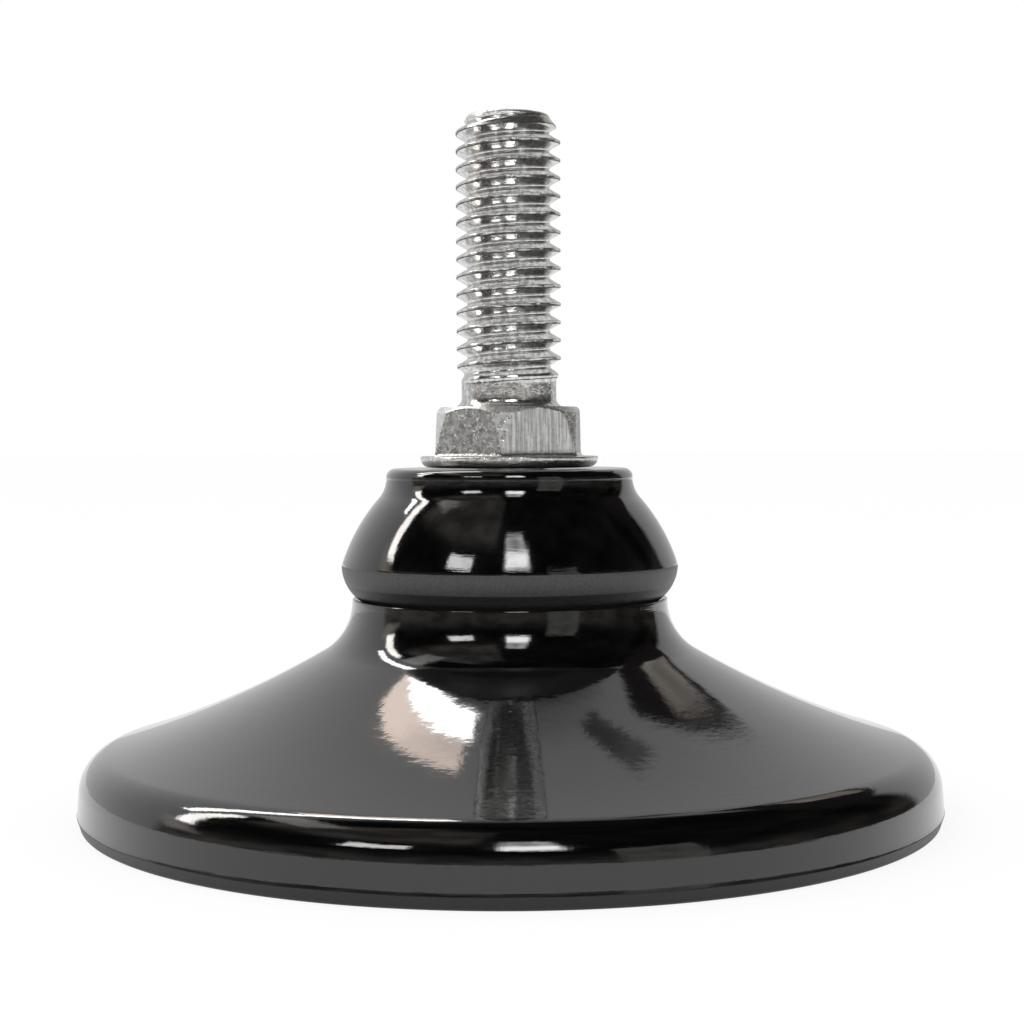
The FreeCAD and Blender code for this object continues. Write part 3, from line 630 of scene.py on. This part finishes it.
# What glossy surfaces show of the room: the two measures that bound it, their low and high ends,
# softness, how far the first leans with the second, patchiness, and brightness as a colour.
ANGLES = ("side", "rise")
CEILING = ("ceiling_x", "ceiling_y")
WINDOWS = (
    (ANGLES, 27.0, 50.0, -5.0, 33.0, 1.0, 0.0, 0.5, (0.5, 0.5, 0.48)),
    (ANGLES, -100.0, -12.0, 48.0, 80.0, 5.0, 0.0, 0.7, (0.3, 0.28, 0.26)),
    (CEILING, -0.66, -0.46, -0.05, 0.42, 0.04, 0.0, 0.5, (1.3, 1.27, 1.24)),
    (ANGLES, 122.0, 156.5, 30.0, 50.0, 1.0, 0.0, 0.0, (0.03, 0.025, 0.025)),
    (ANGLES, 160.5, 165.5, 47.0, 56.0, 1.0, 0.0, 0.5, (0.08, 0.08, 0.08)),
    (ANGLES, 143.0, 155.0, 32.0, 42.5, 1.0, 0.0, 0.6, (0.7, 0.64, 0.56)),
    (ANGLES, -48.0, -29.0, 33.0, 41.0, 1.0, 0.0, 0.8, (7.0, 7.0, 7.0)),
    (ANGLES, -3.0, 15.0, 35.0, 47.0, 2.0, 0.0, 0.3, (10.0, 10.0, 10.0)),
    (ANGLES, -3.0, 14.0, 46.0, 57.0, 2.5, 0.0, 0.7, (4.0, 4.0, 4.0)),
    (ANGLES, -90.0, -77.0, 12.0, 27.0, 3.0, 0.7, 0.6, (1.0, 0.9, 0.8)),
    (ANGLES, -84.0, -76.0, 25.0, 50.0, 1.5, 0.7, 0.2, (9.0, 8.6, 8.2)),
    (CEILING, -1.1, -0.40, 0.54, 0.66, 0.01, 0.0, 0.1, (9.0, 9.0, 9.0)),
    (CEILING, -0.40, -0.10, 0.565, 0.80, 0.01, 0.0, 0.4, (4.2, 3.5, 3.1)),
    (CEILING, -0.40, -0.09, 0.565, 0.67, 0.01, 0.0, 0.2, (11.0, 11.0, 11.0)),
)


# A rib starts a hair above the hub's lower edge, so that the two never share a face.
RIB_LIFT = 0.02 * MM


class FOOT_OT_make_base(bpy.types.Operator):
    """Makes the bell-shaped base with its flash line, socket, hub and ribbed underside"""

    bl_idname = "foot.make_base"
    bl_label = "Make base"

    def execute(self, context):
        sizes = context.scene.foot_base
        looks = context.scene.foot_looks
        section, flash = self.section(sizes)
        shift = flash_shift(
            flash,
            sizes.line_proud,
            lambda angle: 0.75 + 0.3 * uneven(angle, 22.0, 3.0),
            lambda angle: 0.04 * MM * uneven(angle, 5.0, 1.0),
        )
        shapes = turn(section, 288, shift)
        for k in range(sizes.ribs):
            add_shape(shapes, *self.rib(sizes, 2 * math.pi * k / sizes.ribs))
        materials = (
            gloss_black("gloss_base", looks.moulding, 0.004),
            satin_black("satin_band", looks.band),
            satin_black("moulded_underside", looks.band),
        )
        piece = make_piece("base_moulding", shapes, materials)
        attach(piece, "base")
        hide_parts("bell_base")
        return {"FINISHED"}

    def curves(self, sizes):
        """Centres of the shoulder, flare and throat, and where each runs into the next."""
        skirt = (sizes.radius - sizes.skirt_taper, sizes.skirt_height)
        rise = sizes.skirt_height - sizes.line_height
        slant = math.hypot(sizes.skirt_taper, rise)
        shoulder = (
            skirt[0] - sizes.shoulder * rise / slant,
            skirt[1] - sizes.shoulder * sizes.skirt_taper / slant,
        )
        neck = (
            sizes.neck + sizes.neck_straight * math.tan(sizes.neck_draft),
            sizes.rim_height - sizes.neck_straight,
        )
        throat = (
            neck[0] + sizes.throat * math.cos(sizes.neck_draft),
            neck[1] + sizes.throat * math.sin(sizes.neck_draft),
        )
        # The flare's centre, from its distances to the other two.
        to_shoulder = sizes.flare + sizes.shoulder
        to_throat = sizes.flare - sizes.throat
        apart = math.dist(shoulder, throat)
        along = (to_shoulder**2 - to_throat**2 + apart**2) / (2 * apart)
        across = math.sqrt(to_shoulder**2 - along**2)
        unit = ((throat[0] - shoulder[0]) / apart, (throat[1] - shoulder[1]) / apart)
        flare = (
            shoulder[0] + along * unit[0] + across * unit[1],
            shoulder[1] + along * unit[1] - across * unit[0],
        )
        shoulder_end = on_the_way(shoulder, flare, sizes.shoulder)
        flare_end = on_the_way(flare, throat, sizes.flare)
        return skirt, shoulder, shoulder_end, flare, flare_end, throat, neck

    def section(self, sizes):
        """Half section of the base, and the numbers of the three rings that make the flash."""
        skirt, shoulder, shoulder_end, flare, flare_end, throat, neck = self.curves(sizes)
        foot_outer = sizes.radius - sizes.foot_setback
        foot_inner = foot_outer - sizes.foot_width
        line_out = sizes.radius - sizes.line_proud
        rim_inner = (sizes.neck - sizes.rim_land, sizes.rim_height)
        socket = math.hypot(rim_inner[0], sizes.swivel_height - sizes.rim_height)
        web_under = socket + sizes.web
        hub_outer = sizes.hub_inner + sizes.hub_wall
        skirt_inner = foot_inner - sizes.inside_taper
        under_start = below(flare, sizes.flare + sizes.wall, hub_outer)
        under_end = below(flare, sizes.flare + sizes.wall, skirt_inner)

        section = Section()
        section.finish = LOWER
        foot_edge = foot_outer - sizes.foot_round
        section.run((foot_inner, 0.0), (foot_edge, 0.0), 4)
        section.finish = SATIN
        section.arc((foot_edge, sizes.foot_round), (foot_edge, 0.0), (foot_outer, sizes.foot_round), 5)
        line_start = (line_out, sizes.line_height - sizes.line_width / 2)
        line_end = (line_out, sizes.line_height + sizes.line_width / 2)
        section.run((foot_outer, sizes.foot_round), line_start, 3)
        first = len(section.points) - 1
        section.go((line_out, sizes.line_height))
        section.finish = GLOSS
        section.go(line_end)
        section.run(line_end, skirt, 6)
        section.arc(shoulder, skirt, shoulder_end, 34)
        section.arc(flare, shoulder_end, flare_end, 44)
        section.arc(throat, flare_end, neck, 24)
        rim_start = (sizes.neck, sizes.rim_height - sizes.rim_round)
        rim_edge = sizes.neck - sizes.rim_round
        section.run(neck, rim_start, 3)
        section.arc((rim_edge, rim_start[1]), rim_start, (rim_edge, sizes.rim_height), 4)
        section.go(rim_inner)
        section.finish = LOWER
        swivel = (0.0, sizes.swivel_height)
        hub_top = below(swivel, web_under, sizes.hub_inner)
        section.arc(swivel, rim_inner, below(swivel, socket, sizes.web_hole), 12)
        section.arc(swivel, below(swivel, web_under, sizes.web_hole), hub_top, 8)
        hub_low = (sizes.hub_inner, sizes.rib_setback)
        hub_edge = (hub_outer, sizes.rib_setback)
        section.run(hub_top, hub_low, 4)
        section.run(hub_low, hub_edge, 2)
        section.run(hub_edge, under_start, 4)
        section.arc(flare, under_start, under_end, 16)
        section.run(under_end, (foot_inner, 0.0), 3)
        return section, range(first, first + 3)

    def rib(self, sizes, turned):
        """One rib as a closed plate whose ends and top lie inside the hub, the skirt and the flare."""
        flare = self.curves(sizes)[3]
        start = sizes.hub_inner + sizes.hub_wall / 2
        end = sizes.radius - sizes.foot_setback - sizes.foot_width / 2
        radius = sizes.flare + sizes.wall / 2
        steps = 16
        side = []
        for i in range(steps + 1):
            out = start + (end - start) * i / steps
            side.append(below(flare, radius, out))
        low = sizes.rib_setback + RIB_LIFT
        side += [(end, low), (start, low)]
        vertices = []
        for across in (-sizes.rib / 2, sizes.rib / 2):
            for out, up in side:
                x = out * math.cos(turned) - across * math.sin(turned)
                y = out * math.sin(turned) + across * math.cos(turned)
                vertices.append((x, y, up))
        count = len(side)
        faces = [list(range(count)), list(range(2 * count - 1, count - 1, -1))]
        faces += [[i, i + count, (i + 1) % count + count, (i + 1) % count] for i in range(count)]
        return vertices, faces, [LOWER] * len(faces)


class FOOT_OT_make_cap(bpy.types.Operator):
    """Makes the moulded cap with its flash line and the dish that rides in the base"""

    bl_idname = "foot.make_cap"
    bl_label = "Make cap"

    def execute(self, context):
        sizes = context.scene.foot_cap
        base = context.scene.foot_base
        looks = context.scene.foot_looks
        section, flash = self.section(sizes, base)
        shift = flash_shift(
            flash,
            sizes.line_proud,
            lambda angle: 0.5 + 0.5 * uneven(angle, 16.0, 5.0) + 0.3 * uneven(angle, 40.0, 9.0),
            lambda angle: 0.06 * MM * uneven(angle, 4.0, 2.0),
        )
        shapes = turn(section, 240, shift)
        materials = (
            gloss_black("gloss_cap", looks.moulding, 0.004),
            satin_black("satin_bead", looks.bead),
            # Painted shade: the tuck under the bead is a quarter as bright as the bead, standing in for its
            # shadow.
            satin_black("painted_shade_tuck", times(looks.bead, 0.25)),
        )
        piece = make_piece("cap_moulding", shapes, materials)
        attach(piece, "swivel")
        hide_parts("swivel_cap")
        return {"FINISHED"}

    def section(self, sizes, base):
        """Half section of the cap, and the numbers of the three rings that make the flash."""
        swivel = (0.0, base.swivel_height)
        dish = math.hypot(base.neck - base.rim_land, base.swivel_height - base.rim_height) - sizes.seat_gap
        line_out = sizes.radius - sizes.line_proud
        fall = base.swivel_height - sizes.line_height
        bead_radius = (dish**2 - sizes.radius**2 - fall**2) / (2 * (dish - sizes.radius))
        bead = (sizes.radius - bead_radius, sizes.line_height)
        bead_end = on_the_way(swivel, bead, dish)
        dome_up = sizes.line_height - sizes.dome_drop
        dome = (sizes.radius - math.sqrt(sizes.dome**2 - sizes.dome_drop**2), dome_up)
        hollow_out = sizes.collar + sizes.fillet
        hollow_rise = math.sqrt((sizes.dome + sizes.fillet) ** 2 - (hollow_out - dome[0]) ** 2)
        hollow = (hollow_out, dome_up + hollow_rise)
        bulge_end = on_the_way(dome, hollow, sizes.dome)
        half = sizes.line_width / 2
        bead_start = beside(bead, bead_radius, -half)
        satin_start = beside(bead, bead_radius, -sizes.satin)
        dome_start = beside(dome, sizes.dome, sizes.dome_drop + half)

        section = Section()
        # The bead's lower part, tucked in under the satin, is painted dark as shade.
        section.finish = LOWER
        section.arc(bead, bead_end, satin_start, 8)
        section.finish = SATIN
        section.arc(bead, satin_start, bead_start, 10)
        section.finish = GLOSS
        first = len(section.points) - 1
        section.go((line_out, sizes.line_height))
        section.arc(dome, dome_start, bulge_end, 36)
        section.arc(hollow, bulge_end, (sizes.collar, hollow[1]), 20)
        edge = (sizes.collar - sizes.collar_round, sizes.top - sizes.collar_round)
        section.run((sizes.collar, hollow[1]), (sizes.collar, edge[1]), 2)
        section.arc(edge, (sizes.collar, edge[1]), (edge[0], sizes.top), 12)
        section.run((edge[0], sizes.top), (sizes.bore, sizes.top), 4)
        section.finish = SATIN
        section.run((sizes.bore, sizes.top), below(swivel, dish, sizes.bore), 4)
        section.arc(swivel, below(swivel, dish, sizes.bore), bead_end, 20)
        section.points.pop()
        return section, range(first, first + 3)


# Small sizes of the stud. A crest passes its left side at the height CREST_MARK. The top end's rounding runs
# from END_OUT out by END_WIDE and down by END_HIGH, and inside it the end is hollow.
CREST_MARK = 50.64 * MM
END_OUT = 3.06 * MM
END_WIDE = 0.66 * MM
END_HIGH = 0.41 * MM
END_HOLLOW = 0.16 * MM
BURR = 0.07 * MM
# The thread starts below the neck's top and the neck's skin above it, so that they overlap.
THREAD_DOWN = 0.2 * MM
NECK_UP = 0.1 * MM
NECK_ROUND = 0.8 * MM
ROOT_ROUND = 0.4 * MM
FLANGE_EDGE = 0.12 * MM
HEAD_EDGE = 0.1 * MM
# The flange is wavy by WAVE, from WAVE_START outwards.
WAVE = 0.05 * MM
WAVE_START = 6.6 * MM
WAVE_WIDE = 1.3 * MM
# The stud's skin ends in rings of this radius.
TIP = 0.02 * MM


def even(count, first=1):
    """Shares of a straight stretch, across and up or down."""
    return [(i / count, i / count) for i in range(first, count + 1)]


def bend(count):
    """Shares of a quarter turn that leaves its start upright, across and up or down."""
    angles = [math.pi / 2 * i / count for i in range(1, count + 1)]
    return [(1 - math.cos(angle), math.sin(angle)) for angle in angles]


class FOOT_OT_make_stud(bpy.types.Operator):
    """Makes the steel stud: rolled thread, neck, hexagon, flange, shank and headed end"""

    bl_idname = "foot.make_stud"
    bl_label = "Make stud"

    def execute(self, context):
        sizes = context.scene.foot_stud
        looks = context.scene.foot_looks
        shapes = self.thread(sizes)
        add_shape(shapes, *self.body(sizes))
        add_shape(shapes, *self.end(sizes))
        materials = (
            zinc_plate("zinc_thread", looks.zinc, times(looks.zinc, 0.55), 0.13, 0.006),
            zinc_plate("zinc_neck", looks.zinc, times(looks.zinc, 0.5), 0.09, 0.008),
            zinc_plate("zinc_pitted", looks.zinc_dull, times(looks.zinc_dull, 0.4), 0.3, 0.025, nicks=0.05),
            zinc_plate("zinc_drawn", looks.zinc_bright, times(looks.zinc, 0.5), 0.33, 0.004, strokes=0.04),
            zinc_plate("zinc_worn", looks.zinc_bright, times(looks.zinc, 0.8), 0.28, 0.02, coarse=2.5),
            zinc_plate("zinc_flange", looks.zinc_bright, looks.zinc_dull, 0.12, 0.02),
            # Painted shade under the thread's crests: a very dark zinc in place of their shadow.
            zinc_plate("zinc_crest_shade", times(looks.zinc_dull, 0.45), times(looks.zinc_dull, 0.1), 0.4, 0.01),
        )
        piece = make_piece("stud_steel", shapes, materials, sharp=38.0)
        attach(piece, "stud")
        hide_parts("levelling_stud")
        return {"FINISHED"}

    def thread(self, sizes):
        """The thread as rows that climb with the helix, one pitch for each turn round."""
        columns = 144
        # Shares of the pitch down to the groove, and how far out of the groove the profile stands there.
        side = ((0.045, 1.0), (0.075, 0.975), (0.105, 0.9), (0.20, 0.63), (0.30, 0.345))
        side += ((0.385, 0.11), (0.425, 0.035), (0.465, 0.005))
        other_side = [(1 - share, stands) for share, stands in reversed(side)]
        profile = ((0.0, 0.985), *side, (0.5, 0.0), *other_side)
        per_turn = len(profile)
        low = sizes.neck_top - THREAD_DOWN
        end_start = sizes.top - END_HIGH
        turns_below = math.ceil((CREST_MARK - low) / sizes.pitch) + 2
        turns_above = math.ceil((end_start - CREST_MARK) / sizes.pitch) + 1
        rows = (turns_below + turns_above) * per_turn
        vertices = []
        for k in range(columns + 1):
            angle = 2 * math.pi * k / columns
            # The left side is at half a turn.
            climb = sizes.pitch * (k / columns - 0.5)
            for i in range(rows + 1):
                share, stands = profile[i % per_turn]
                up = CREST_MARK + climb + sizes.pitch * (i // per_turn - turns_below + share)
                inside = min(max(up, low), end_start)
                out = self.thread_out(sizes, angle, inside, stands)
                vertices.append(polar(out, angle, inside))
        # Painted shade: the rows just under each crest get a very dark zinc, standing in for the shadow that
        # the crest casts.
        crest_shade_rows = (per_turn - 3, per_turn - 2)
        faces = []
        numbers = []
        for k in range(columns):
            for i in range(rows):
                here = k * (rows + 1) + i
                after = here + rows + 1
                corners = [here, after, after + 1, here + 1]
                heights = {vertices[corner][2] for corner in corners}
                # Rows past the thread's ends lie on one another, and make no faces.
                if len(heights) > 1:
                    faces.append(corners)
                    numbers.append(CREST_SHADE if i % per_turn in crest_shade_rows else THREAD)
        return vertices, faces, numbers

    def thread_out(self, sizes, angle, up, stands):
        """How far out the thread lies, with its run-out below and its chamfered end above."""
        out = sizes.root + (sizes.crest - sizes.root) * stands
        full = min(1.0, max(0.0, (up - sizes.neck_top) / (0.9 * sizes.pitch)))
        out = sizes.neck + (out - sizes.neck) * full
        rough = 0.012 * MM * uneven(angle, 9.0, up * 4000)
        wear = 0.02 * MM * uneven(angle, 3.0, up * 900 + 7)
        out += (rough + wear) * stands
        end = END_OUT + END_WIDE + (sizes.top - END_HIGH - up) * 0.8
        return min(out, end)

    def body(self, sizes):
        """Neck, hexagon, flange, shank and head as one skin, which the hexagon's flats cut back."""
        columns = 360
        rows = self.body_rows(sizes)
        vertices = []
        numbers = []
        for part, out, up in rows:
            for k in range(columns):
                angle = sizes.hex_turn + 2 * math.pi * k / columns
                moved_out, moved_up, worn = self.body_point(sizes, part, out, up, angle)
                vertices.append(polar(moved_out, angle, moved_up))
                if part == "hex":
                    # Three faces show drag marks, and the three between them are pitted.
                    numbers.append(WORN if worn else (DRAWN, PITTED)[6 * k // columns % 2])
                else:
                    numbers.append(NECK if part in ("neck", "under") else FLANGE)
        faces = [[a, d, c, b] for a, b, c, d in ring_faces(len(rows) - 1, len(rows), columns)]
        last = range(len(vertices) - columns, len(vertices))
        faces += [list(range(columns)), list(reversed(last))]
        return vertices, faces, numbers[:-columns] + [NECK, NECK]

    def body_rows(self, sizes):
        """Each row of the skin from the neck down: its part, distance out and height."""
        rows = []

        def add(part, start, end, shares):
            width, rise = end[0] - start[0], end[1] - start[1]
            for across, along in shares:
                rows.append((part, start[0] + width * across, start[1] + rise * along))

        neck_low = (sizes.neck, sizes.hex_top + NECK_ROUND)
        neck_foot = (sizes.neck + NECK_ROUND, sizes.hex_top)
        face = (sizes.hex_face, sizes.hex_top)
        corner = sizes.hex_flat / math.cos(math.pi / 6)
        worn_corner = (corner - sizes.hex_wear, sizes.hex_top - sizes.hex_chamfer)
        low = sizes.flange_top + ROOT_ROUND
        edge = (sizes.flange - FLANGE_EDGE, sizes.flange_top)
        flange_foot = (sizes.flange - sizes.flange_round, sizes.flange_bottom)
        shank_top = (sizes.shank, sizes.flange_bottom)
        add("neck", (sizes.neck, sizes.neck_top + NECK_UP), neck_low, even(5, 0))
        add("neck", neck_low, neck_foot, bend(8))
        add("top", neck_foot, face, even(5)[:-1])
        add("hex", face, worn_corner, even(8, 0))
        add("hex", worn_corner, (corner, low), even(18))
        # The root is measured out from the hexagon, and the flange's face in shares of the way to its edge.
        add("root", (0.0, low), (ROOT_ROUND, sizes.flange_top), bend(7))
        add("face", (0.0, sizes.flange_top), (1.0, sizes.flange_top), even(5))
        level_bend = [(along, across) for across, along in bend(3)]
        add("flange", edge, (sizes.flange, sizes.flange_top - FLANGE_EDGE), level_bend)
        add("flange", (sizes.flange, sizes.flange_bottom + sizes.flange_round), flange_foot, bend(8))
        add("under", flange_foot, shank_top, even(4))
        add("under", shank_top, (sizes.shank, sizes.head_top), even(6))
        rows.append(("under", sizes.head - HEAD_EDGE, sizes.head_top))
        rows.append(("under", sizes.head, sizes.head_top - HEAD_EDGE))
        rows.append(("under", sizes.head, sizes.head_top - sizes.head_edge))
        # The headed end is a shallow part of a sphere.
        rise = sizes.head_top - sizes.head_edge - sizes.bottom
        curve = (sizes.head**2 + rise**2) / (2 * rise)
        for i in range(1, 9):
            out = sizes.head * (1 - i / 8) + TIP
            rows.append(("under", *below((0.0, sizes.bottom + curve), curve, out)))
        return rows

    def body_point(self, sizes, part, out, up, angle):
        """Where a point of the skin lies, and whether it is on a worn corner of the hexagon."""
        sector = (angle - sizes.hex_turn) % (math.pi / 3) - math.pi / 6
        flat = sizes.hex_flat / math.cos(sector)
        worn = out < flat
        if part == "hex":
            out = min(out, flat)
        elif part == "root":
            out += flat
        elif part == "face":
            start = flat + ROOT_ROUND
            out = start + (sizes.flange - FLANGE_EDGE - start) * out
        if part in ("root", "face", "flange"):
            share = min(1.0, max(0.0, (out - WAVE_START) / WAVE_WIDE))
            out -= WAVE * (0.5 + 0.5 * uneven(angle, 5.0, 4.0)) * share
            up -= WAVE * (0.5 + 0.5 * uneven(angle, 3.0, 6.0)) * share
        elif part != "under":
            out -= 0.02 * MM * (0.5 + 0.5 * uneven(angle, 8.0, up * 1500))
        return out, up, worn

    def end(self, sizes):
        """The rounded and slightly hollow top end, with a burr left by the cut."""
        columns = 144
        rows = []
        for i in range(7):
            angle = math.pi / 2 * (i / 6)
            out = END_OUT + END_WIDE * math.cos(angle)
            rows.append((out, sizes.top - END_HIGH * (1 - math.sin(angle))))
        for out in (2.7 * MM, 2.3 * MM, 1.7 * MM, 1.0 * MM, 0.4 * MM, TIP):
            rows.append((out, sizes.top - END_HOLLOW * (1 - (out / END_OUT) ** 2)))
        vertices = []
        for i, (out, up) in enumerate(rows):
            for k in range(columns):
                angle = 2 * math.pi * k / columns
                drop = BURR * (0.5 + 0.5 * uneven(angle, 6.0, i * 0.5)) if i > 3 else 0.0
                vertices.append(polar(out, angle, up - drop))
        faces = ring_faces(len(rows) - 1, len(rows), columns)
        return vertices, faces, [WORN] * len(faces)


class FOOT_OT_finish_washer(bpy.types.Operator):
    """Gives the dished washer its plated finish"""

    bl_idname = "foot.finish_washer"
    bl_label = "Finish washer"

    def execute(self, context):
        looks = context.scene.foot_looks
        steel = zinc_plate("zinc_washer", looks.zinc, looks.zinc_dull, 0.3, 0.015)
        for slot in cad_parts["dished_washer"].material_slots:
            slot.material = steel
        return {"FINISHED"}


class FOOT_PT_sidebar(bpy.types.Panel):
    """Sizes, colours and steps of the levelling foot"""

    bl_idname = "FOOT_PT_sidebar"
    bl_label = "Levelling foot"
    bl_space_type = "VIEW_3D"
    bl_region_type = "UI"
    bl_category = "Levelling foot"

    def draw(self, context):
        for operator in STEPS:
            self.layout.operator(operator.bl_idname)
        for name, group in OWNERS:
            box = self.layout.box()
            for prop in group.__annotations__:
                box.prop(getattr(context.scene, name), prop)


STEPS = (
    FOOT_OT_make_stage,
    FOOT_OT_make_base,
    FOOT_OT_make_cap,
    FOOT_OT_make_stud,
    FOOT_OT_finish_washer,
)


def register():
    for name, group in OWNERS:
        bpy.utils.register_class(group)
        setattr(bpy.types.Scene, name, PointerProperty(type=group))
    for operator in STEPS:
        bpy.utils.register_class(operator)
    bpy.utils.register_class(FOOT_PT_sidebar)


def unregister():
    bpy.utils.unregister_class(FOOT_PT_sidebar)
    for operator in reversed(STEPS):
        bpy.utils.unregister_class(operator)
    for name, group in reversed(OWNERS):
        delattr(bpy.types.Scene, name)
        bpy.utils.unregister_class(group)


def main():
    register()
    bpy.ops.foot.make_stage()
    bpy.ops.foot.make_base()
    bpy.ops.foot.make_cap()
    bpy.ops.foot.make_stud()
    bpy.ops.foot.finish_washer()


if __name__ == "__main__":
    main()
